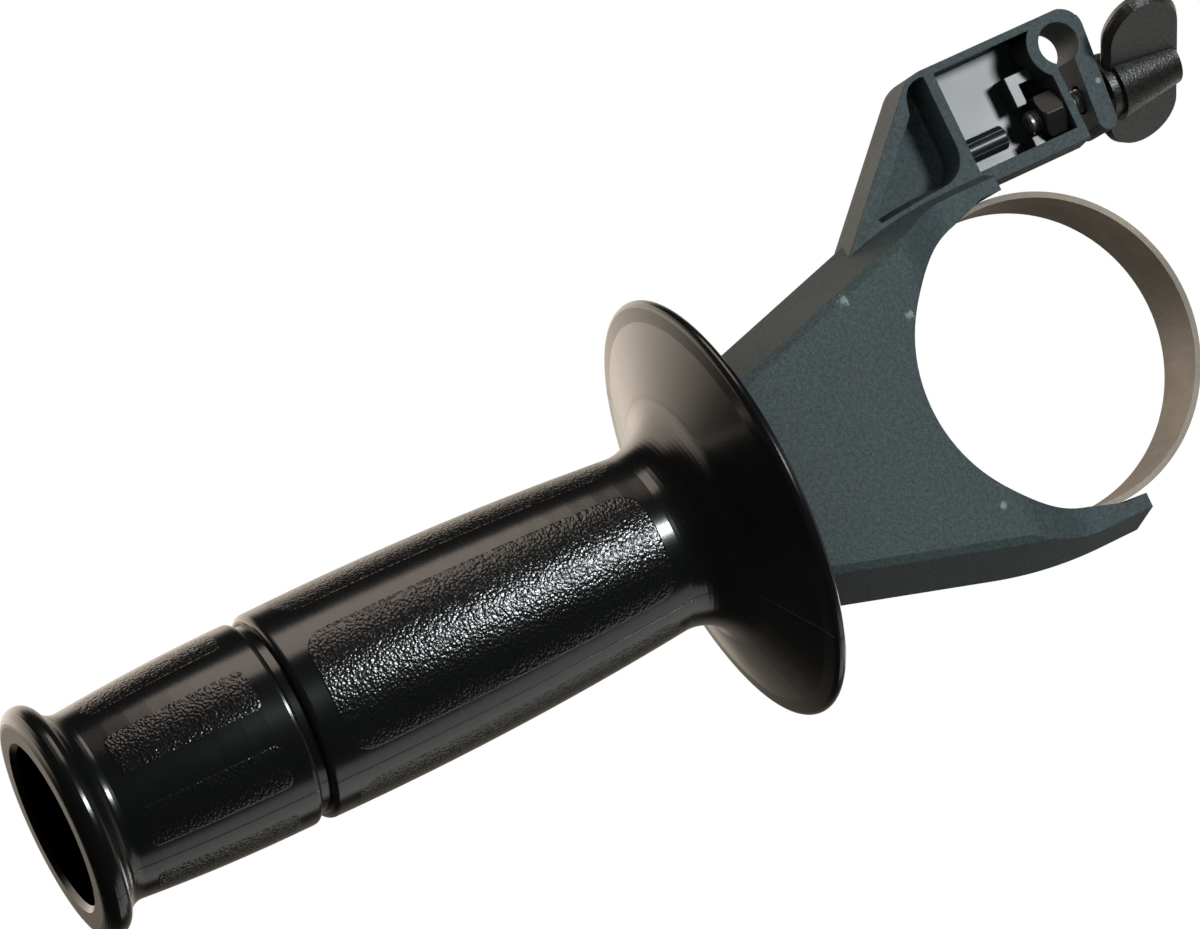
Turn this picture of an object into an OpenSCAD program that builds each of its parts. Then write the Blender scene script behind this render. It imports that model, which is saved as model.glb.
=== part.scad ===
// Power tool side handle with a 50 mm strap clamp, a screw-down grip and a depth-stop box.
// The origin lies on the collar axis, halfway through the handle. The collar axis is Y,
// the grip hangs below it along Z, and the depth-stop box stands on the -X side.

/* [Collar clamp] */
// Diameter of the tool collar that the clamp closes on
collar_d = 50; // [46:0.5:54]
// Thickness of the steel strap
strap_t = 1; // [0.8:0.1:1.4]
// Width of the steel strap
strap_w = 13; // [11:0.5:14]
// Room between the strap and the slot around it
strap_gap = 0.4; // [0.3:0.05:0.6]

/* [Yoke] */
// Distance from the collar axis to the foot of the yoke
foot_drop = 55; // [53:0.5:58]
// Half width of the yoke at its foot
foot_half = 19.1; // [17:0.1:20]
// Half width of the yoke across its two horns
horn_half = 31.2; // [30:0.1:33]
// Thickness of the yoke where it carries the grip
yoke_t = 32; // [28:0.5:34]
// Thickness of the two horns beside the collar
horn_t = 19.5; // [17:0.5:21]
// Height of the plain horn above the collar axis
horn_rise = 3.8; // [2.5:0.1:4.5]
// How much narrower the faces are than the parting plane
draft_in = 4.2; // [3:0.1:5]
// Rounding of the flanks beside the collar
flank_r = 69; // [60:1:80]
// Chamfer along the front and back faces
edge_cut = 1; // [0.6:0.1:1.4]

/* [Clamp bolt] */
// Diameter of the clamp bolt
bolt_d = 8; // [7:0.5:8]
// Width across the flats of its square head
head_af = 13; // [12:0.5:13]
// Height of its head
head_h = 5; // [4:0.5:5.5]
// Distance from the collar axis to the underside of the head
head_drop = 38.5; // [38:0.25:39.5]
// Distance from the collar axis to the tail of the bolt
tail_drop = 80; // [78:0.5:81]
// Room around the bolt in the yoke, the washer and the grip
bolt_gap = 0.3; // [0.2:0.05:0.5]
// Radial room between each screw and its nut
thread_gap = 0.1; // [0.08:0.02:0.2]

/* [Washer] */
// Diameter of the thrust washer
washer_d = 24; // [20:1:28]
// Thickness of the thrust washer
washer_t = 1.2; // [1:0.1:1.6]

/* [Grip] */
// Length of the grip from the guard disc to the open end
grip_len = 117; // [112:0.2:122]
// Radius of the guard disc
disc_r = 35; // [33:0.2:37]
// Thickness of the guard disc at its rim
rim_t = 2; // [1.8:0.1:2.8]
// Largest radius of the grip
barrel_r = 16.9; // [16.2:0.1:17.5]
// Depth below the disc at which the grip is thickest
barrel_h = 66; // [60:1:70]
// Radius of the long curve along the grip
barrel_curve = 555; // [500:5:700]
// Depth below the disc of the neck
neck_h = 14.6; // [13:0.2:16]
// Radius of the trumpet between the neck and the disc
trumpet_r = 9; // [8:0.25:10]
// Depth below the disc of the groove's middle
groove_h = 79.2; // [76:0.2:82]
// Width of the groove's floor
groove_w = 1.5; // [1:0.1:2]
// Radius at the groove's floor
groove_r = 15.4; // [14.9:0.1:15.7]
// Radius of the grip just below the groove
tail_r = 16.5; // [16:0.05:16.7]
// Radius of the grip just above the flare
waist_r = 15.15; // [14.8:0.05:15.5]
// Radius of the flared end
flare_r = 18.7; // [18.2:0.1:20]
// Bore of the grip at the open end
mouth_d = 26; // [24:0.5:27]
// Bore of the grip at its inner end
core_d = 23.4; // [22:0.2:24]
// Depth below the disc at which the bore ends
core_h = 22; // [21:0.5:24]

/* [Grip nut] */
// Width across the flats of the grip nut
nut_af = 13; // [12.5:0.5:13]
// Height of the grip nut
nut_h = 6.5; // [6:0.25:7]
// Room around each nut in its pocket
nut_gap = 0.15; // [0.1:0.05:0.3]
// Depth below the disc of the shoulder that the nut pulls on
shoulder_h = 13.8; // [13:0.2:14.4]

/* [Depth-stop box] */
// Diameter of the hole for the depth rod
rod_d = 6.8; // [6.2:0.1:7.2]
// Distance of the rod hole from the collar axis, sideways
rod_x = 43.7; // [43:0.1:44.5]
// Distance of the rod hole from the collar axis, upwards
rod_z = 25.2; // [25:0.1:26]
// Wall around the rod hole
rod_wall = 2; // [1.8:0.1:2.4]
// Distance of the box's front face from the middle of the handle
box_front = 5.75; // [5.5:0.05:6]
// Thickness of the box from front to back
box_t = 9.5; // [9.3:0.1:10.5]
// Side of the box away from the collar
box_out = 48.8; // [48.2:0.1:49.5]
// Side of the box next to the collar
box_in = 28; // [27.6:0.1:28.4]
// Lower end of the box
box_low = 2.3; // [1.8:0.1:3]
// Thickness of the wall at the lower end and on the outer side
thin_wall = 1.3; // [1.1:0.1:1.5]
// Thickness of the wall next to the collar
thick_wall = 2.3; // [2:0.1:2.5]
// How far the side next to the collar bulges at the parting plane
side_bulge = 0.6; // [0:0.1:0.8]
// Thickness of the closed back of the box
back_t = 1.2; // [1:0.1:1.4]
// Thickness of the wall between the pocket and the slot
slot_wall = 1.4; // [1.2:0.1:1.8]
// Width of the slot at the rod hole
slot_w = 3.6; // [3.2:0.1:4]
// Width of the slot at its open end
slot_end_w = 2.3; // [2:0.1:3]
// Thickness of the clamping tongue
tongue_t = 3.3; // [3:0.1:3.8]

/* [Thumb screw] */
// Distance of the thumb screw from the collar axis
screw_x = 34.2; // [34:0.1:34.8]
// Diameter of the thumb screw
screw_d = 4; // [3.5:0.5:4]
// Width across the flats of its nut
stop_af = 7; // [6.5:0.5:7]
// Height of its nut
stop_nut_h = 4; // [3:0.1:4.2]
// How far the screw reaches past its nut
screw_past = 1.8; // [1:0.2:2.6]
// Diameter of the hub at its inner end
hub_d = 11.4; // [10:0.2:12]
// Diameter of the hub at its outer end
hub_end_d = 8; // [7:0.2:9]
// Height of the hub
hub_h = 11.6; // [10:0.2:13]
// Diameter of the neck that presses on the tongue
neck_d = 9.6; // [8:0.2:10]
// Height of that neck
neck_high = 1.7; // [1.2:0.1:2.2]
// Length of the wing across the hub
wing_l = 30; // [26:0.5:32]
// Height of the wing along the screw
wing_h = 14; // [13:0.1:16]
// Thickness of the wing
wing_t = 3; // [2.4:0.1:3.6]
// How far the wing is turned out of the front plane
wing_turn = 50; // [40:1:60]
// How far the wing's middle lies off the screw, away from the collar
wing_shift = 1.15; // [0:0.05:1.5]

/* [Rib] */
// Thickness of the slanted strut under the box
strut_t = 2.45; // [2.2:0.05:2.8]
// Thickness of the web at the back of the rib
web_t = 1.6; // [1.2:0.1:2]

/* [Hidden] */
$fn = 96;
collar_r = collar_d / 2;
strap_r = collar_r + strap_t;
slot_half = strap_w / 2 + strap_gap;
lug_gap = 0.1;
leg_bend_r = 1.2;
bend_out = leg_bend_r + strap_t;
bend_x = head_af / 2 + 0.1;
low_lug = head_drop + strap_t + lug_gap;
foot_z = -foot_drop;
grip_top = foot_z - washer_t;
horn_z = -3;
step_low = -20;
step_high = -6;
floor_drop = low_lug + strap_t + 1;
box_back = box_t - box_front;
slot_low = rod_z - 1.9;
pocket_high = slot_low - slot_wall;
tongue_in = slot_low + slot_w;
tongue_end = slot_low + slot_end_w;
stop_nut_top = pocket_high - nut_gap;
screw_y = box_back - back_t - nut_gap - stop_af / 2 / cos(30);
hub_base = tongue_end + tongue_t + 1;
wing_base = hub_base + 0.5;
far = 200;

// Turns a drawing in the XZ plane into a plate from y = -front to y = back
module plate(front, back) {
    translate([0, back, 0])
        rotate([90, 0, 0])
            linear_extrude(height = front + back)
                children();
}

module slab(half) {
    plate(half, half)
        children();
}

// Points of a round stretch about (cx, cy), from angle a to angle b
function arc(cx, cy, r, a, b, steps) =
    [for (i = [0 : steps]) [cx + r * cos(a + (b - a) * i / steps), cy + r * sin(a + (b - a) * i / steps)]];

// Right flank of the yoke: a straight side from the foot that runs into a round one beside the collar
flank_x = horn_half - flank_r;
flank_away = norm([foot_half - flank_x, foot_z - horn_z]);
flank_start = atan2(foot_z - horn_z, foot_half - flank_x) + acos(flank_r / flank_away);
flank = concat([[foot_half, foot_z]], arc(flank_x, horn_z, flank_r, flank_start, 0, 12), [[horn_half, horn_rise]]);

function drawn_in(points, by) = [for (p = points) [p[0] - by, p[1]]];
function mirrored(points) = [for (i = [len(points) - 1 : -1 : 0]) [-points[i][0], points[i][1]]];

// Outline of the yoke in front view, drawn in by the given amount on each side
module yoke_outline(by) {
    right = drawn_in(flank, by);
    polygon(concat(right, mirrored(right)));
}

// One thin layer of the yoke's outline at depth y
module yoke_layer(y, by) {
    layer_t = 0.02;
    translate([0, y, 0])
        slab(layer_t / 2)
            yoke_outline(by);
}

// Body of the yoke before any hollow is cut: drafted flanks, thick at the foot and thin at the horns
module yoke_block() {
    face = yoke_t / 2 - 0.01;
    intersection() {
        hull() {
            for (side = [-1, 1]) {
                yoke_layer(side * face, draft_in + edge_cut);
                yoke_layer(side * (face - edge_cut), draft_in * (1 - edge_cut / face));
            }
            yoke_layer(0, 0);
        }
        side_profile();
    }
}

// Thickness of the yoke along its height, seen from the side
module side_profile() {
    foot = yoke_t / 2;
    horn = horn_t / 2;
    low = foot_z - 1;
    high = horn_rise + 1;
    narrowing = [for (i = [0 : 12])
        [foot - (foot - horn) * (1 - cos(15 * i)) / 2, step_low + (step_high - step_low) * i / 12]];
    back = concat([[foot, low]], narrowing, [[horn, high]]);
    rotate([90, 0, 90])
        linear_extrude(height = 2 * horn_half + 2, center = true)
            polygon(concat(back, mirrored(back)));
}

// Slot that the strap and the bolt head work in, with room for the strap's travel
module strap_slot() {
    out_r = strap_r + strap_gap;
    away = leave_way(low_lug);
    top = out_r * away;
    turn = [bend_x, leg_bend_r - low_lug] + (bend_out + strap_gap) * away;
    slab(slot_half)
        polygon([top, [top[0], 0], [-top[0], 0], [-top[0], top[1]], [-turn[0], turn[1]],
                 [-turn[0], -floor_drop], [turn[0], -floor_drop], turn]);
    rotate([90, 0, 0])
        cylinder(r = out_r, h = 2 * slot_half, center = true);
}

// Collar bore, with the horns opening a little towards their ends
module collar_space() {
    open_x = strap_r + 0.25;
    rotate([90, 0, 0])
        cylinder(r = collar_r, h = far, center = true, $fn = 180);
    slab(far / 2)
        polygon([[-collar_r * cos(14), -collar_r * sin(14)], [collar_r * cos(14), -collar_r * sin(14)],
                 [open_x, 0], [open_x, far], [-open_x, far], [-open_x, 0]]);
}

// Outline of the depth-stop box with its clamping tongue, in front view
module box_outline() {
    corner_r = 3.6;
    top = tongue_in + tongue_t;
    tip_r = tongue_t / 2;
    tip_x = -box_in + 0.2 - tip_r;
    tip_z = tongue_end + tip_r;
    polygon(concat(
        [[-box_in, box_low], [-box_in, slot_low], [-box_in - 1, slot_low]],
        [[-rod_x, slot_low]],
        [[-rod_x, tongue_in], [tip_x, tongue_end]],
        arc(tip_x, tip_z, tip_r, -80, 85, 8),
        arc(-box_out + corner_r, top - corner_r + 0.2, corner_r, 88, 180, 8),
        [[-box_out, box_low]]));
}

// Slanted strut under the box: its outer side runs down at 45 degrees into the yoke's flank
corner_z = box_low - 3;
function strut_z(x, in) = corner_z - box_out - x + in * sqrt(2);
module rib_outline() {
    corner_r = 6;
    foot_x = -box_out + 22;
    foot_z = strut_z(foot_x, 0);
    polygon(concat(
        [[foot_x, foot_z], [foot_x + 3, foot_z], [-box_in + 2, box_low + thin_wall],
         [-box_out, box_low + thin_wall]],
        arc(-box_out + corner_r, corner_z + corner_r * tan(22.5), corner_r, 180, 225, 8)));
}

// Triangular pocket between the strut, the box and the yoke, with the strut thinner at its top
module rib_pocket() {
    high = box_low - 0.5;
    inner_r = 4.8;
    outer_r = 3.5;
    outer_x = -box_out + 4.5;
    bend_x = -box_out + 5.9;
    nose_x = -box_in - 2.4;
    polygon(concat(
        [[nose_x + 0.9, box_low - 17.4], [nose_x + 0.2, box_low - 10.5]],
        arc(-box_in - 2.6 - inner_r, high - inner_r, inner_r, 0, 90, 8),
        arc(outer_x, high - outer_r * sin(15), outer_r, 165, 250, 8),
        [[bend_x, strut_z(bend_x, strut_t)], [nose_x, strut_z(nose_x, strut_t)]]));
}

// Hollow of the box, open to the front
module box_pocket() {
    in_x = -box_in - thick_wall;
    out_x = -box_out + thin_wall;
    difference() {
        polygon([[in_x, box_low + thin_wall], [in_x, pocket_high], [out_x, pocket_high],
                 [out_x, box_low + thin_wall]]);
        translate([-rod_x, rod_z])
            circle(r = rod_d / 2 + rod_wall);
    }
}

// Two posts under the stop nut and the half-round ridge in line with the screw
module box_posts() {
    front = 2;
    top = stop_nut_top - stop_nut_h - nut_gap;
    low = top - 1.9;
    guide_x = -box_out + 6.4;
    guide_w = 1.9;
    arm_end = -screw_x - stop_af / 2 + 0.5;
    ridge_r = 1.9;
    floor_y = box_back - back_t;
    post_y = floor_y + front + back_t / 2;
    translate([guide_x, -front, low])
        cube([arm_end - guide_x, post_y, top - low]);
    translate([guide_x, -front, low])
        cube([guide_w, post_y, 4.4]);
    translate([-box_in - thick_wall - 1.7, -front, low])
        cube([2.2, post_y, top - low]);
    intersection() {
        translate([-screw_x, floor_y, box_low + 0.5])
            cylinder(r = ridge_r, h = 10.4);
        plate(box_front, box_back)
            box_outline();
    }
}

// Everything of the yoke that stands on its outer side: box, tongue, strut and web
module stop_box() {
    mark_r = 1.8;
    mark_deep = 0.25;
    mark_x = -box_out + 0.4;
    mark_z = tongue_in + tongue_t - 0.7;
    difference() {
        union() {
            plate(box_front, box_back) {
                box_outline();
                rib_outline();
            }
            translate([-box_in, 0, box_low])
                linear_extrude(height = slot_low - box_low)
                    polygon([[-1, -box_front], [0, -box_front], [side_bulge, 0], [0, box_back], [-1, box_back]]);
        }
        plate(box_front + 1, box_back - back_t)
            box_pocket();
        plate(box_front + 1, box_back - web_t)
            rib_pocket();
        translate([-rod_x, 0, rod_z])
            rotate([90, 0, 0])
                cylinder(d = rod_d, h = far, center = true);
        translate([-screw_x, screw_y, stop_nut_top - 1])
            cylinder(d = screw_d + 0.8, h = far);
        translate([mark_x, mark_deep - box_front, mark_z])
            rotate([90, 0, 0])
                cylinder(r = mark_r, h = 2 * mark_deep);
    }
    box_posts();
}

// Nylon yoke: cradle, horns, strap slot, bolt bore and the depth-stop box, one moulding
module yoke() {
    color([0.24, 0.28, 0.30])
        difference() {
            union() {
                yoke_block();
                stop_box();
            }
            collar_space();
            strap_slot();
            translate([0, 0, foot_z - 1])
                cylinder(d = bolt_d + 2 * bolt_gap, h = foot_drop);
        }
}

// Angle up from the bottom of the collar at which a leg leaves it, for an end folded at this drop
function leave_angle(drop) =
    let (turn_z = drop - leg_bend_r)
    atan2(bend_x, turn_z) + acos((collar_r - leg_bend_r) / norm([bend_x, turn_z]));
function leave_way(drop) = [sin(leave_angle(drop)), -cos(leave_angle(drop))];

// Steel strap: round over the collar, straight into the slot, both ends folded under the bolt head
module clamp_strap() {
    right = leave_angle(head_drop);
    left = leave_angle(low_lug);
    color([0.42, 0.38, 0.34])
        difference() {
            slab(strap_w / 2)
                polygon(concat(
                    strap_leg(head_drop),
                    arc(0, 0, collar_r, right - 90, 270 - left, 96),
                    mirrored(strap_leg(low_lug)),
                    arc(0, 0, strap_r, 270 - left, right - 90, 96)));
            translate([0, 0, -floor_drop])
                cylinder(d = bolt_d + 2 * bolt_gap, h = floor_drop - collar_r);
        }
}

// Points of one leg, from its outer side at the collar round the folded end to its inner side
function strap_leg(drop) =
    let (leave = leave_angle(drop) - 90, bend_z = leg_bend_r - drop, lug_end = head_af / 2)
    concat(
        arc(bend_x, bend_z, bend_out, leave, -90, 6),
        [[-lug_end, -drop - strap_t], [-lug_end, -drop]],
        arc(bend_x, bend_z, leg_bend_r, -90, leave, 6));

// Clamp bolt with a square head that cannot turn between the walls of the slot
module clamp_bolt() {
    tail_cut = 1;
    color([0.62, 0.62, 0.64]) {
        translate([0, 0, -head_drop + head_h / 2])
            cube([head_af, head_af, head_h], center = true);
        translate([0, 0, -tail_drop + tail_cut])
            cylinder(d = bolt_d, h = tail_drop - head_drop);
        translate([0, 0, -tail_drop])
            cylinder(d1 = bolt_d - 2 * tail_cut, d2 = bolt_d, h = tail_cut);
    }
}

// Steel washer that the grip turns against
module thrust_washer() {
    color([0.66, 0.66, 0.68])
        translate([0, 0, grip_top])
            difference() {
                cylinder(d = washer_d, h = washer_t);
                translate([0, 0, -1])
                    cylinder(d = bolt_d + 2 * bolt_gap, h = washer_t + 2);
            }
}

// Outer profile of the grip as points of radius and depth below the disc
function barrel_at(h) = barrel_r - pow(h - barrel_h, 2) / (2 * barrel_curve);
neck_r = barrel_at(neck_h);
rim_r = rim_t / 2;
groove_top = groove_h - groove_w / 2;
groove_low = groove_h + groove_w / 2;
lip_r = 1.1;
lip_h = groove_top - lip_r;
shoulder_r = 1;
flare_round = 2.3;
cove_r = 3.4;
flare_angle = acos((waist_r + cove_r - flare_r + flare_round) / (cove_r + flare_round));
waist_h = grip_len - flare_round - (cove_r + flare_round) * sin(flare_angle);
cone = 14;
outer_profile = concat(
    [[0, 0], [disc_r - rim_r, 0]],
    arc(disc_r - rim_r, rim_r, rim_r, -90, 90 - cone, 10),
    [[disc_r - rim_r - 2, rim_t + 0.4]],
    arc(neck_r + trumpet_r, neck_h, trumpet_r, 270 - cone, 180, 16),
    [for (i = [1 : 15]) let (h = neck_h + (lip_h - neck_h) * i / 15) [barrel_at(h), h]],
    arc(barrel_at(lip_h) - lip_r, lip_h, lip_r, 15, 90, 4),
    [[groove_r, groove_top], [groove_r, groove_low]],
    arc(tail_r - shoulder_r, groove_low + shoulder_r, shoulder_r, -90, 0, 4),
    [for (i = [1 : 8]) let (t = i / 8) [tail_r - (tail_r - waist_r) * pow(t, 2), groove_low + shoulder_r + (waist_h - groove_low - shoulder_r) * t]],
    arc(waist_r + cove_r, waist_h, cove_r, 172, 180 - flare_angle, 6),
    arc(flare_r - flare_round, grip_len - flare_round, flare_round, -flare_angle, 90, 12),
    [[0, grip_len]]);

// Radius and depth of the hollow inside the grip, drawn past its open end
mouth_round = 0.8;
past_end = 1;
hollow_profile = [
    [0, core_h], [core_d / 2, core_h], [mouth_d / 2, grip_len - mouth_round],
    [mouth_d / 2 + mouth_round + past_end, grip_len + past_end], [0, grip_len + past_end]];

// Black grip with its guard disc, hollow and open at the flared end, one moulding
module grip() {
    color([0.07, 0.07, 0.07])
        translate([0, 0, grip_top])
            difference() {
                rotate_extrude($fn = 180)
                    polygon([for (p = outer_profile) [p[0], -p[1]]]);
                rotate_extrude()
                    polygon([for (p = hollow_profile) [p[0], -p[1]]]);
                translate([0, 0, -core_h - 1])
                    cylinder(d = bolt_d + 2 * bolt_gap, h = core_h + 2);
                translate([0, 0, -core_h - 1])
                    cylinder(d = (nut_af + 2 * nut_gap) / cos(30), h = core_h - shoulder_h + 1, $fn = 6);
            }
}

// Hexagon nut with chamfered corners, standing on z = 0
module hex_nut(af, h, bore) {
    point_r = af / 2 / cos(30);
    corner = 0.5;
    intersection() {
        difference() {
            cylinder(r = point_r, h = h, $fn = 6);
            translate([0, 0, -1])
                cylinder(d = bore, h = h + 2);
        }
        union() {
            cylinder(r1 = point_r - corner, r2 = point_r, h = corner);
            translate([0, 0, corner])
                cylinder(r = point_r + 0.01, h = h - 2 * corner);
            translate([0, 0, h - corner])
                cylinder(r1 = point_r, r2 = point_r - corner, h = corner);
        }
    }
}

// Nut that the grip carries and draws the bolt with
module grip_nut() {
    color([0.60, 0.60, 0.62])
        translate([0, 0, grip_top - shoulder_h - nut_gap - nut_h])
            hex_nut(nut_af, nut_h, bolt_d + 2 * thread_gap);
}

// Hub and wing of the thumb screw, one moulding on the screw's head
module thumb_knob() {
    wing_mid = wing_base + wing_h / 2;
    color([0.09, 0.09, 0.09])
        difference() {
            union() {
                translate([-screw_x, screw_y, hub_base])
                    cylinder(d = neck_d, h = neck_high + 1);
                translate([-screw_x, screw_y, hub_base + neck_high])
                    cylinder(d1 = hub_d, d2 = hub_end_d, h = hub_h);
                translate([-screw_x, screw_y, wing_mid])
                    rotate([0, 0, wing_turn])
                        translate([-wing_shift, 0, 0])
                            wing();
            }
            translate([-screw_x, screw_y, hub_base - 1])
                cylinder(d = screw_d, h = hub_h);
        }
}

// Flat wing with round ends and rounded rims, standing across the screw
module wing() {
    end_r = wing_h / 2;
    round_r = wing_t / 2;
    reach = wing_l / 2 - end_r;
    hull()
        for (side = [-1, 1])
            translate([side * reach, 0, 0])
                rotate([90, 0, 0])
                    wing_end(end_r, round_r);
}

// Round end of the wing with a rounded rim
module wing_end(end_r, round_r) {
    rim = 0.45 * round_r;
    rotate_extrude($fn = 40)
        polygon([[0, -round_r], [end_r - rim, -round_r], [end_r, -rim / 2], [end_r, rim / 2],
                 [end_r - rim, round_r], [0, round_r]]);
}

// Steel screw of the thumb screw, moulded into the hub
module thumb_stud() {
    top = hub_base - 1 + hub_h;
    low = stop_nut_top - stop_nut_h - screw_past;
    color([0.62, 0.62, 0.64])
        translate([-screw_x, screw_y, low])
            cylinder(d = screw_d, h = top - low);
}

// Nut of the thumb screw, held between the posts and the slot wall
module stop_nut() {
    color([0.60, 0.60, 0.62])
        translate([-screw_x, screw_y, stop_nut_top - stop_nut_h])
            rotate([0, 0, 30])
                hex_nut(stop_af, stop_nut_h, screw_d + 2 * thread_gap);
}

yoke();
clamp_strap();
clamp_bolt();
thrust_washer();
grip();
grip_nut();
thumb_knob();
thumb_stud();
stop_nut();
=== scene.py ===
import bpy
import bmesh
from math import radians, tau
from mathutils import Matrix, Vector


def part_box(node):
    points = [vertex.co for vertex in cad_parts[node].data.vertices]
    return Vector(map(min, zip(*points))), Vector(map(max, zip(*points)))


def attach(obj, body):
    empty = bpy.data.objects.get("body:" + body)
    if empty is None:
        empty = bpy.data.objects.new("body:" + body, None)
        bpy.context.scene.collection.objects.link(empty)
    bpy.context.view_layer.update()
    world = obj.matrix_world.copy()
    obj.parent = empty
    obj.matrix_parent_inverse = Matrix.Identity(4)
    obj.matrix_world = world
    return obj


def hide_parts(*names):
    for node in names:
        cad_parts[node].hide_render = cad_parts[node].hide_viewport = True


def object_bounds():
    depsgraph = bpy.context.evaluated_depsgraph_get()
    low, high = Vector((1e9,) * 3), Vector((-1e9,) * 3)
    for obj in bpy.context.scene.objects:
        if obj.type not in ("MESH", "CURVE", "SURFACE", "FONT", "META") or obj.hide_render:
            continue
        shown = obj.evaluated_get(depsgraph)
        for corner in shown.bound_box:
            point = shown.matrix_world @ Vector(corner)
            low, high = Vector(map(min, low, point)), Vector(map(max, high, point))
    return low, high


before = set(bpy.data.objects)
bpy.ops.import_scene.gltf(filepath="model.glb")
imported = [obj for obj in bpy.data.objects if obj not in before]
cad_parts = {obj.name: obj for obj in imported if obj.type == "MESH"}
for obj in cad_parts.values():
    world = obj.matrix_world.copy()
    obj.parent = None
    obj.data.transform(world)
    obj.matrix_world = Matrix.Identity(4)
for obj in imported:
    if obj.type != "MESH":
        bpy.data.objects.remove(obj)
cadLow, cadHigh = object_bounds()
mm = 0.001


# view and light

view = {
    "place": Vector((0.522, -763.657, -317.605)) * mm,
    "right": Vector((0.4303692, -0.2687693, 0.8617107)),
    "down": Vector((0.9024659, 0.1475524, -0.4047019)),
    "forward": Vector((-0.018376, 0.9518358, 0.3060571)),
    "lens": 156.53,     # millimetres, on a 36 mm sensor
}


def addCamera():
    camera = bpy.data.cameras.new("camera")
    camera.lens = view["lens"]
    camera.sensor_width = 36
    camera.clip_start = 0.05
    camera.clip_end = 20
    holder = bpy.data.objects.new("camera", camera)
    columns = [view["right"], -view["down"], -view["forward"]]
    turn = Matrix([[column[row] for column in columns] for row in range(3)])
    holder.matrix_world = Matrix.Translation(view["place"]) @ turn.to_4x4()
    bpy.context.scene.collection.objects.link(holder)
    bpy.context.scene.camera = holder


lamps = {
    # name: direction from the object, distance, width, height, strength in watts, colour
    "key": ((-0.12, -0.885, 0.45), 1.0, 0.18, 0.18, 8.4, (0.93, 0.98, 1.0)),
    "top": ((-0.92, -0.32, 0.20), 0.9, 0.53, 0.36, 2.1, (1.0, 0.86, 0.75)),
    "foot": ((0.886, 0.132, 0.295), 1.0, 0.80, 0.80, 2.0, (0.97, 1.0, 0.94)),
    "back": ((0.25, 0.62, 0.74), 1.2, 0.50, 0.50, 2.0, (1.0, 0.97, 0.94)),
}


def addLamps():
    target = Vector((0, 0, -0.06))
    for name, (direction, distance, width, height, watts, colour) in lamps.items():
        lamp = bpy.data.lights.new(name, "AREA")
        lamp.shape = "RECTANGLE"
        lamp.size = width
        lamp.size_y = height
        lamp.energy = watts
        lamp.color = colour
        holder = bpy.data.objects.new(name, lamp)
        away = Vector(direction).normalized()
        holder.location = target + away * distance
        holder.rotation_euler = (-away).to_track_quat("-Z", "Y").to_euler()
        bpy.context.scene.collection.objects.link(holder)


def nodesOf(material):
    material.use_nodes = True
    tree = material.node_tree
    tree.nodes.clear()
    return tree


def join(tree, start, end):
    tree.links.new(start, end)


def value(tree, operation, first, second=None, third=None, clamp=False):
    # one Math node; inputs are numbers or sockets
    node = tree.nodes.new("ShaderNodeMath")
    node.operation = operation
    node.use_clamp = clamp
    for index, given in enumerate((first, second, third)):
        if given is None:
            continue
        if isinstance(given, (int, float)):
            node.inputs[index].default_value = given
        else:
            join(tree, given, node.inputs[index])
    return node.outputs[0]


def band(tree, source, low, high, toLow=0.0, toHigh=1.0):
    # smooth step from low to high
    node = tree.nodes.new("ShaderNodeMapRange")
    node.interpolation_type = "SMOOTHSTEP"
    join(tree, source, node.inputs["Value"])
    node.inputs["From Min"].default_value = low
    node.inputs["From Max"].default_value = high
    node.inputs["To Min"].default_value = toLow
    node.inputs["To Max"].default_value = toHigh
    return node.outputs["Result"]


def objectPlace(tree, scale=(1, 1, 1)):
    # object coordinates through a Mapping node
    coordinates = tree.nodes.new("ShaderNodeTexCoord")
    mapping = tree.nodes.new("ShaderNodeMapping")
    mapping.inputs["Scale"].default_value = scale
    join(tree, coordinates.outputs["Object"], mapping.inputs["Vector"])
    return mapping.outputs["Vector"]


def noise(tree, place, scale, detail=2.0, rough=0.5):
    node = tree.nodes.new("ShaderNodeTexNoise")
    node.inputs["Scale"].default_value = scale
    node.inputs["Detail"].default_value = detail
    node.inputs["Roughness"].default_value = rough
    join(tree, place, node.inputs["Vector"])
    return node.outputs["Fac"]


def colourMix(tree, share, first, second):
    node = tree.nodes.new("ShaderNodeMix")
    node.data_type = "RGBA"
    join(tree, share, node.inputs["Factor"])
    for name, given in (("A", first), ("B", second)):
        socket = next(s for s in node.inputs if s.name == name and s.type == "RGBA")
        if isinstance(given, tuple):
            socket.default_value = (*given, 1)
        else:
            join(tree, given, socket)
    return next(s for s in node.outputs if s.type == "RGBA")


def bump(tree, height, distance, strength=1.0, normal=None):
    node = tree.nodes.new("ShaderNodeBump")
    node.inputs["Strength"].default_value = strength
    node.inputs["Distance"].default_value = distance
    join(tree, height, node.inputs["Height"])
    if normal:
        join(tree, normal, node.inputs["Normal"])
    return node.outputs["Normal"]


def rounded(tree, radius):
    # normals of an edge rounded by a radius
    node = tree.nodes.new("ShaderNodeBevel")
    node.samples = 6
    node.inputs["Radius"].default_value = radius
    return node.outputs["Normal"]


def surface(tree, **sockets):
    # Principled shader with numbers set on its own sockets, and the rest linked
    shader = tree.nodes.new("ShaderNodeBsdfPrincipled")
    output = tree.nodes.new("ShaderNodeOutputMaterial")
    join(tree, shader.outputs["BSDF"], output.inputs["Surface"])
    for name, given in sockets.items():
        socket = shader.inputs[name.replace("_", " ")]
        if isinstance(given, bpy.types.NodeSocket):
            join(tree, given, socket)
        elif isinstance(given, tuple):
            socket.default_value = (*given, 1)
        else:
            socket.default_value = given
    return shader


# materials

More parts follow.
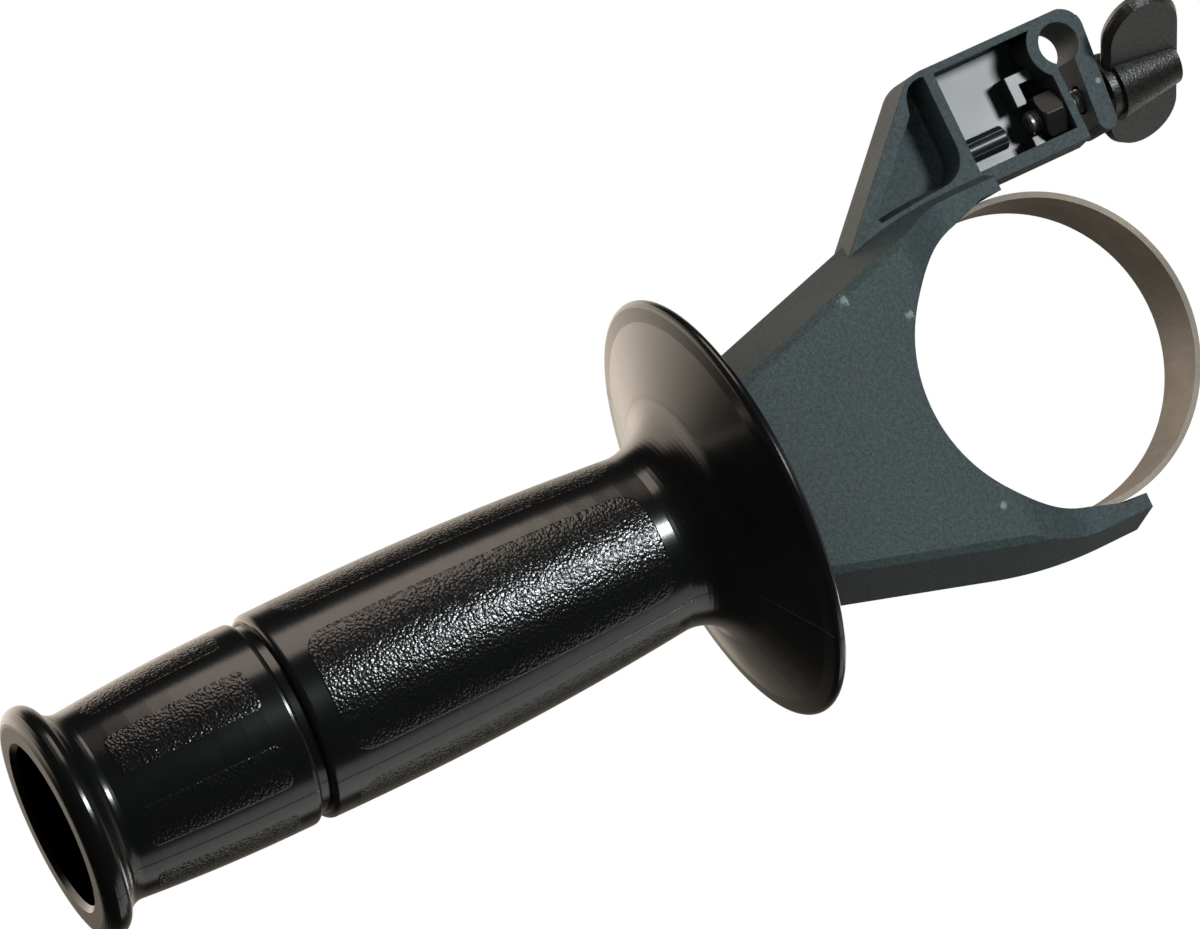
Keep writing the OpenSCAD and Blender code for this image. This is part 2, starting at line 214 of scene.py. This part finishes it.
nylonLook = {
    "dark": (0.021, 0.032, 0.035),
    "pale": (0.049, 0.068, 0.073),
    "edge": 0.25 * mm,  # corners catch light as if rounded so much
    "seamDepth": 0.9 * mm,      # where the parting line of strut and box runs, front to back
    "seamReach": -29.5 * mm,    # it runs outward from here
    "inside": (0.014, 0.017, 0.018),
    "seam": (0.012, 0.012, 0.012),
    # colour of the pale patches, which are partly rub marks and partly painted highlight
    "scuffAndGlint": (0.20, 0.24, 0.25),
    "grain": 4200,      # grains in a metre
    # pale patches: partly real rub marks, partly painted highlights on lit spots of the near face and the
    # box
    "scuffsAndGlints": (
        # millimetres across, deep and up, radius, amount
        (-14.5, -16.0, -21.6, 2.2, 0.85), (-20.6, -15.6, -30.4, 3.0, 0.80), (18.1, -16.0, -21.3, 2.0, 0.75),
        (-35.7, -5.8, 28.6, 1.2, 1.0), (22.0, -15.0, 4.0, 2.4, 0.8), (-24.0, 12.0, -34.0, 3.0, 0.8),
        (16.0, 16.0, -24.0, 2.6, 0.75), (-44.0, 3.7, 14.0, 1.6, 0.8),
    ),
    "boxLow": (-47.6 * mm, -5.4 * mm, 3.5 * mm),    # the box is smooth inside, from this corner
    "boxHigh": (-30.2 * mm, 3.0 * mm, 22.0 * mm),   # to this one
}


def insideBox(tree, place, low, high, soft):
    # 1 inside a box of space, 0 outside it
    split = tree.nodes.new("ShaderNodeSeparateXYZ")
    join(tree, place, split.inputs[0])
    share = None
    for axis in range(3):
        past = value(tree, "MULTIPLY", band(tree, split.outputs[axis], low[axis] - soft, low[axis] + soft),
                     band(tree, split.outputs[axis], high[axis] - soft, high[axis] + soft, 1.0, 0.0))
        share = past if share is None else value(tree, "MULTIPLY", share, past)
    return share


def nearTo(tree, place, middle, radius):
    # 1 at a place, fading to 0 at a radius from it
    node = tree.nodes.new("ShaderNodeVectorMath")
    node.operation = "DISTANCE"
    join(tree, place, node.inputs[0])
    node.inputs[1].default_value = Vector(middle) * mm
    return band(tree, node.outputs["Value"], 0.0, radius * mm, 1.0, 0.0)


def scuffAndGlintShare(tree, place):
    # pale rub marks and painted highlights, each a patch of broken streaks
    streaks = noise(tree, objectPlace(tree, (0.35, 1, 1)), 2600, 3, 0.7)
    share = None
    for *middle, radius, amount in nylonLook["scuffsAndGlints"]:
        patch = value(tree, "MULTIPLY", nearTo(tree, place, middle, radius), amount)
        share = patch if share is None else value(tree, "MAXIMUM", share, patch)
    broken = value(tree, "ADD", share, value(tree, "SUBTRACT", streaks, 1.0))
    return band(tree, broken, 0.05, 0.28)


def nylonMaterial():
    material = bpy.data.materials.new("grainedNylon")
    tree = nodesOf(material)
    place = objectPlace(tree)
    grain = noise(tree, place, nylonLook["grain"], 2, 0.6)
    coarse = noise(tree, place, 1500, 2, 0.5)
    cloud = noise(tree, place, 60, 3)
    smooth = insideBox(tree, place, nylonLook["boxLow"], nylonLook["boxHigh"], 0.08 * mm)
    mixed = value(tree, "MULTIPLY_ADD", coarse, 0.35, value(tree, "MULTIPLY", grain, 0.65))
    speck = band(tree, mixed, 0.38, 0.66)
    base = colourMix(tree, speck, nylonLook["dark"], nylonLook["pale"])
    # pale rub marks and painted highlights, mixed into the colour
    rubAndGlint = value(tree, "MULTIPLY", scuffAndGlintShare(tree, place), 0.75)
    colour = colourMix(tree, rubAndGlint, base, nylonLook["scuffAndGlint"])
    colour = colourMix(tree, smooth, colour, nylonLook["inside"])
    matte = value(tree, "MULTIPLY_ADD", cloud, 0.10, 0.56)
    rough = value(tree, "MULTIPLY_ADD", smooth, -0.33, matte)
    height = value(tree, "MULTIPLY", grain, value(tree, "MULTIPLY_ADD", smooth, -0.9, 1.0))
    split = tree.nodes.new("ShaderNodeSeparateXYZ")
    join(tree, place, split.inputs[0])
    seam = value(tree, "ABSOLUTE", value(tree, "SUBTRACT", split.outputs["Y"], nylonLook["seamDepth"]))
    seam = band(tree, seam, 0.05 * mm, 0.16 * mm, 1.0, 0.0)
    reach = nylonLook["seamReach"]
    seam = value(tree, "MULTIPLY", seam, band(tree, split.outputs["X"], reach - mm, reach + mm, 1.0, 0.0))
    colour = colourMix(tree, value(tree, "MULTIPLY", seam, 0.6), colour, nylonLook["seam"])
    bumped = bump(tree, height, 0.00005, normal=rounded(tree, nylonLook["edge"]))
    bumped = bump(tree, seam, -0.00008, normal=bumped)
    surface(tree, Base_Color=colour, Roughness=rough, Normal=bumped, Specular_IOR_Level=0.22)
    return material


panels = {
    # angle of a panel's middle, angle from panel to panel, half width, middle height, half height, corner
    "main": (radians(-89.5), tau / 4, 10.1 * mm, -101.75 * mm, 28.75 * mm, 4.0 * mm),
    "tail": (radians(-66.5), tau / 8, 3.6 * mm, -151.85 * mm, 11.6 * mm, 1.3 * mm),
}
gripLook = {
    "black": (0.0035, 0.004, 0.0045),
    "barrel": 16.4 * mm,
    "seam": radians(-43.5),
    "pebble": 2050,     # pebbles in a metre
    "high": 0.00008,    # height of the pebbles, in metres
    "bore": 14.0 * mm,  # nothing within this radius has pebbles or a seam
    "wobble": 1300,     # how fine the pebbles' outlines wander, in a metre
    "wander": 0.0005,   # how far they wander, in metres
}


def panelShare(tree, split, angle, name):
    # 1 inside a pebbled panel with round corners, 0 on the smooth lands
    middle, pitch, halfWide, height, halfHigh, corner = panels[name]
    turned = value(tree, "WRAP", value(tree, "SUBTRACT", angle, middle), pitch / 2, -pitch / 2)
    across = value(tree, "ABSOLUTE", value(tree, "MULTIPLY", turned, gripLook["barrel"]))
    along = value(tree, "ABSOLUTE", value(tree, "SUBTRACT", split.outputs["Z"], height))
    pastX = value(tree, "MAXIMUM", value(tree, "SUBTRACT", across, halfWide - corner), 0.0)
    pastZ = value(tree, "MAXIMUM", value(tree, "SUBTRACT", along, halfHigh - corner), 0.0)
    squares = value(tree, "ADD", value(tree, "POWER", pastX, 2.0), value(tree, "POWER", pastZ, 2.0))
    distance = value(tree, "SUBTRACT", value(tree, "SQRT", squares), corner)
    return band(tree, distance, -0.25 * mm, 0.05 * mm, 1.0, 0.0)


def gripMaterial():
    material = bpy.data.materials.new("pebbledBlack")
    tree = nodesOf(material)
    place = objectPlace(tree)
    split = tree.nodes.new("ShaderNodeSeparateXYZ")
    join(tree, place, split.inputs[0])
    angle = value(tree, "ARCTAN2", split.outputs["Y"], split.outputs["X"])
    onMain = panelShare(tree, split, angle, "main")
    onTail = panelShare(tree, split, angle, "tail")
    inPanel = value(tree, "MAXIMUM", onMain, onTail)
    outward = value(tree, "SQRT", value(
        tree, "ADD",
        value(tree, "POWER", split.outputs["X"], 2.0),
        value(tree, "POWER", split.outputs["Y"], 2.0)))
    outside = band(tree, outward, gripLook["bore"], gripLook["bore"] + 0.2 * mm)
    inPanel = value(tree, "MULTIPLY", inPanel, outside)
    cells = tree.nodes.new("ShaderNodeTexVoronoi")
    cells.feature = "SMOOTH_F1"
    cells.inputs["Scale"].default_value = gripLook["pebble"]
    cells.inputs["Smoothness"].default_value = 0.35
    warp = tree.nodes.new("ShaderNodeVectorMath")
    warp.operation = "ADD"
    wobble = tree.nodes.new("ShaderNodeTexNoise")
    wobble.inputs["Scale"].default_value = gripLook["wobble"]
    join(tree, place, wobble.inputs["Vector"])
    shrink = tree.nodes.new("ShaderNodeVectorMath")
    shrink.operation = "SCALE"
    shrink.inputs["Scale"].default_value = gripLook["wander"]
    join(tree, wobble.outputs["Color"], shrink.inputs[0])
    join(tree, place, warp.inputs[0])
    join(tree, shrink.outputs[0], warp.inputs[1])
    join(tree, warp.outputs[0], cells.inputs["Vector"])
    domes = value(tree, "SUBTRACT", 1.0, cells.outputs["Distance"])
    pebbles = value(tree, "MULTIPLY", domes, inPanel)
    seam = value(tree, "ABSOLUTE", value(
        tree, "MULTIPLY",
        value(tree, "SINE", value(tree, "SUBTRACT", angle, gripLook["seam"])),
        gripLook["barrel"]))
    seamLine = value(tree, "MULTIPLY", band(tree, seam, 0.06 * mm, 0.16 * mm, 1.0, 0.0), outside)
    soft = noise(tree, place, 140, 2)
    rough = value(tree, "MULTIPLY_ADD", inPanel, 0.02, value(tree, "MULTIPLY_ADD", soft, 0.06, 0.17))
    first = bump(tree, pebbles, gripLook["high"])
    second = bump(tree, seamLine, -0.00012, normal=first)
    third = bump(tree, noise(tree, place, 2400, 2), 0.000004, normal=second)
    colour = colourMix(tree, seamLine, gripLook["black"], (0.002, 0.002, 0.002))
    surface(tree, Base_Color=colour, Roughness=rough, Normal=third, Specular_IOR_Level=0.5)
    return material


steelLook = {
    # name: colour, share of metal, roughness, scratch depth
    "strap": ((0.22, 0.188, 0.15), 0.30, 0.60, 0.000006),
    "zinc": ((0.58, 0.585, 0.60), 0.95, 0.30, 0.000003),
    "dark": ((0.07, 0.07, 0.07), 0.9, 0.38, 0.000003),
    "oiled": ((0.20, 0.20, 0.195), 0.9, 0.42, 0.000003),
}


def steelMaterial(name):
    colour, metal, roughness, depth = steelLook[name]
    material = bpy.data.materials.new(name + "Steel")
    tree = nodesOf(material)
    place = objectPlace(tree)
    stretched = objectPlace(tree, (1, 0.08, 1))
    cloud = noise(tree, place, 55, 4, 0.6)
    lines = noise(tree, stretched, 1800, 3, 0.6)
    worn = tuple(0.62 * part for part in colour)
    tint = colourMix(tree, band(tree, cloud, 0.30, 0.72), worn, colour)
    rough = value(tree, "MULTIPLY_ADD", lines, 0.16, roughness - 0.08)
    bumped = bump(tree, lines, depth, normal=rounded(tree, 0.12 * mm))
    surface(tree, Base_Color=tint, Metallic=metal, Roughness=rough, Normal=bumped)
    return material


knobLook = {"dark": (0.005, 0.005, 0.005), "pale": (0.016, 0.015, 0.013), "grain": 2400}


def knobMaterial():
    material = bpy.data.materials.new("grainedBlack")
    tree = nodesOf(material)
    place = objectPlace(tree)
    grain = noise(tree, place, knobLook["grain"], 3, 0.6)
    base = colourMix(tree, band(tree, grain, 0.38, 0.68), knobLook["dark"], knobLook["pale"])
    rough = value(tree, "MULTIPLY_ADD", noise(tree, place, 80, 3), 0.08, 0.30)
    surface(tree, Base_Color=base, Roughness=rough, Normal=bump(tree, grain, 0.00009))
    return material


def dress(node, material):
    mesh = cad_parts[node].data
    mesh.materials.clear()
    mesh.materials.append(material)


def dressNodes():
    zinc = steelMaterial("zinc")
    dress("yoke", nylonMaterial())
    dress("clamp_strap", steelMaterial("strap"))
    dress("grip", gripMaterial())
    dress("thumb_knob", knobMaterial())
    dress("stop_nut", steelMaterial("dark"))
    for node in ("clamp_bolt", "thrust_washer", "grip_nut", "thumb_stud"):
        dress(node, zinc)
    print("materials on", len(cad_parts), "nodes")


# threaded stud

stud = {
    "pitch": 0.7 * mm,
    "deep": 0.32 * mm,
    "sunk": 0.05 * mm,  # how far the thread goes into the core
    "steps": 20,        # in one turn
    "tip": 0.35 * mm,   # chamfer at both ends
}


def makeStud():
    low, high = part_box("thumb_stud")
    middle = (Vector(low) + Vector(high)) / 2
    radius = (high[0] - low[0]) / 2
    core = radius - stud["deep"]
    length = high[2] - low[2]
    shape = bmesh.new()
    bmesh.ops.create_cone(shape, cap_ends=True, segments=40, radius1=core, radius2=core, depth=length)
    ends = [edge for edge in shape.edges if abs(edge.verts[0].co.z - edge.verts[1].co.z) < 1e-6]
    bmesh.ops.bevel(shape, geom=ends, offset=stud["tip"], offset_type="OFFSET", segments=1,
                    profile=0.5, affect="EDGES", material=-1)
    bmesh.ops.translate(shape, verts=shape.verts, vec=middle)
    half = stud["pitch"] * 0.45
    start = low[2] + stud["tip"] + half
    turns = int((length - 2 * stud["tip"] - 2 * half) / stud["pitch"])
    inner = core - stud["sunk"]
    corners = [shape.verts.new((middle.x + out, middle.y, start + up))
               for out, up in ((inner, -half), (radius - 0.02 * mm, 0), (inner, half))]
    loop = [shape.edges.new((corners[index - 1], corners[index])) for index in range(3)]
    swept = bmesh.ops.spin(
        shape, geom=corners + loop, cent=(middle.x, middle.y, 0), axis=(0, 0, 1),
        dvec=(0, 0, stud["pitch"] / stud["steps"]), angle=tau * turns, steps=stud["steps"] * turns,
        use_duplicate=False)
    last = [item for item in swept["geom_last"] if isinstance(item, bmesh.types.BMVert)]
    shape.faces.new(corners)
    shape.faces.new(last)
    bmesh.ops.recalc_face_normals(shape, faces=shape.faces)
    mesh = bpy.data.meshes.new("studThread")
    shape.to_mesh(mesh)
    shape.free()
    mesh.set_sharp_from_angle(angle=radians(40))
    piece = bpy.data.objects.new("studThread", mesh)
    bpy.context.scene.collection.objects.link(piece)
    mesh.materials.append(steelMaterial("oiled"))
    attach(piece, "thumb_screw")
    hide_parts("thumb_stud")
    print("stud thread of", turns, "turns")


# stage

stageLook = {
    "radius": 1.6,
    "colour": (0.80, 0.80, 0.79),
    "beige": (1.0, 0.87, 0.73),
    "card": (0.5, 2.2),     # strength in gloss of a beige card beyond the handle, at its right and left end
    "haze": 0.22,           # the wall beyond, in gloss
    "dim": 0.02,            # the dark room, in gloss
    "fill": (0.05, 0.45),   # soft light from the near side, and from beyond
}


def addFloor():
    mesh = bpy.data.meshes.new("floor")
    shape = bmesh.new()
    bmesh.ops.create_circle(shape, cap_ends=True, segments=64, radius=stageLook["radius"])
    bmesh.ops.translate(shape, verts=shape.verts, vec=(0, 0, cadLow.z - 0.02 * mm))
    shape.to_mesh(mesh)
    shape.free()
    floor = bpy.data.objects.new("floor", mesh)
    bpy.context.scene.collection.objects.link(floor)
    floor.visible_glossy = False
    material = bpy.data.materials.new("paleFloor")
    tree = nodesOf(material)
    shader = surface(tree, Base_Color=stageLook["colour"], Roughness=0.9)
    clear = tree.nodes.new("ShaderNodeBsdfTransparent")
    side = tree.nodes.new("ShaderNodeNewGeometry")
    mix = tree.nodes.new("ShaderNodeMixShader")
    output = next(node for node in tree.nodes if node.type == "OUTPUT_MATERIAL")
    join(tree, side.outputs["Backfacing"], mix.inputs[0])
    join(tree, shader.outputs[0], mix.inputs[1])
    join(tree, clear.outputs[0], mix.inputs[2])
    join(tree, mix.outputs[0], output.inputs["Surface"])
    mesh.materials.append(material)


def facing(tree, direction, towards):
    # 1 where a direction points one way, -1 where it points the other way
    node = tree.nodes.new("ShaderNodeVectorMath")
    node.operation = "DOT_PRODUCT"
    join(tree, direction, node.inputs[0])
    node.inputs[1].default_value = towards
    return node.outputs["Value"]


def addWorld():
    # white behind, even fill, and in gloss a room that is pale beyond the handle and dark in front
    world = bpy.data.worlds.new("studio")
    bpy.context.scene.world = world
    world.use_nodes = True
    tree = world.node_tree
    tree.nodes.clear()
    direction = tree.nodes.new("ShaderNodeTexCoord").outputs["Generated"]
    light = tree.nodes.new("ShaderNodeLightPath")
    upward = facing(tree, direction, -view["down"])
    onward = facing(tree, direction, view["forward"])
    lower = band(tree, upward, -0.28, -0.02)
    upper = band(tree, upward, 0.45, 0.66, 1.0, 0.0)
    edges = value(tree, "MULTIPLY", lower, upper)
    edges = value(tree, "MULTIPLY", edges, band(tree, onward, -0.10, 0.20))
    card = band(tree, facing(tree, direction, -view["right"]), -0.10, 0.65, *stageLook["card"])
    haze = band(tree, onward, 0.62, 0.92, stageLook["dim"], stageLook["haze"])
    room = value(tree, "MULTIPLY_ADD", card, edges, haze)
    fill = band(tree, onward, -0.4, 0.6, *stageLook["fill"])
    glossy = value(tree, "SUBTRACT", room, fill)
    glossy = value(tree, "MULTIPLY_ADD", glossy, light.outputs["Is Glossy Ray"], fill)
    seen = light.outputs["Is Camera Ray"]
    strength = value(tree, "MULTIPLY_ADD", value(tree, "SUBTRACT", 1.0, glossy), seen, glossy)
    background = tree.nodes.new("ShaderNodeBackground")
    join(tree, colourMix(tree, seen, stageLook["beige"], (1.0, 1.0, 1.0)), background.inputs["Color"])
    join(tree, strength, background.inputs["Strength"])
    output = tree.nodes.new("ShaderNodeOutputWorld")
    join(tree, background.outputs[0], output.inputs["Surface"])


addCamera()
addWorld()
addFloor()
addLamps()
dressNodes()
makeStud()
bpy.context.scene.view_settings.view_transform = "Standard"
